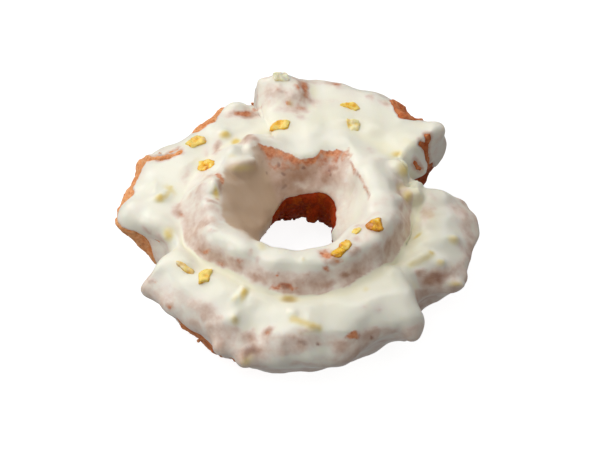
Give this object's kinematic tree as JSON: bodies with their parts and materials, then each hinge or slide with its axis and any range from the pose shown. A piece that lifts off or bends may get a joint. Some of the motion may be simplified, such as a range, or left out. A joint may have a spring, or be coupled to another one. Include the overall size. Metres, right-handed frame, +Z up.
{
  "type": "old-fashioned doughnut",
  "caption": "Old-fashioned cake doughnut with a raised collar round its hole, a cracked outer ring of uneven petals, a pale icing coat and candied citrus peel bits.",
  "frame": {"origin": "on the resting plane, under the middle of the doughnut's bounding box", "axes": "+Z up out of the iced face, along the hole's axis; -Y towards the side that faces the viewer, the wide front petal; +X to the viewer's right"},
  "size_m": [0.0908, 0.0924, 0.0275],
  "materials": {
    "iced_crust": "thick set icing in pale cream, satin gloss, thinner and pinkish over the ridges with bare golden brown crust at the edges and inside the hole"
  },
  "bodies": {
    "root": {"doughnut": "iced_crust"}
  },
  "joints": []
}
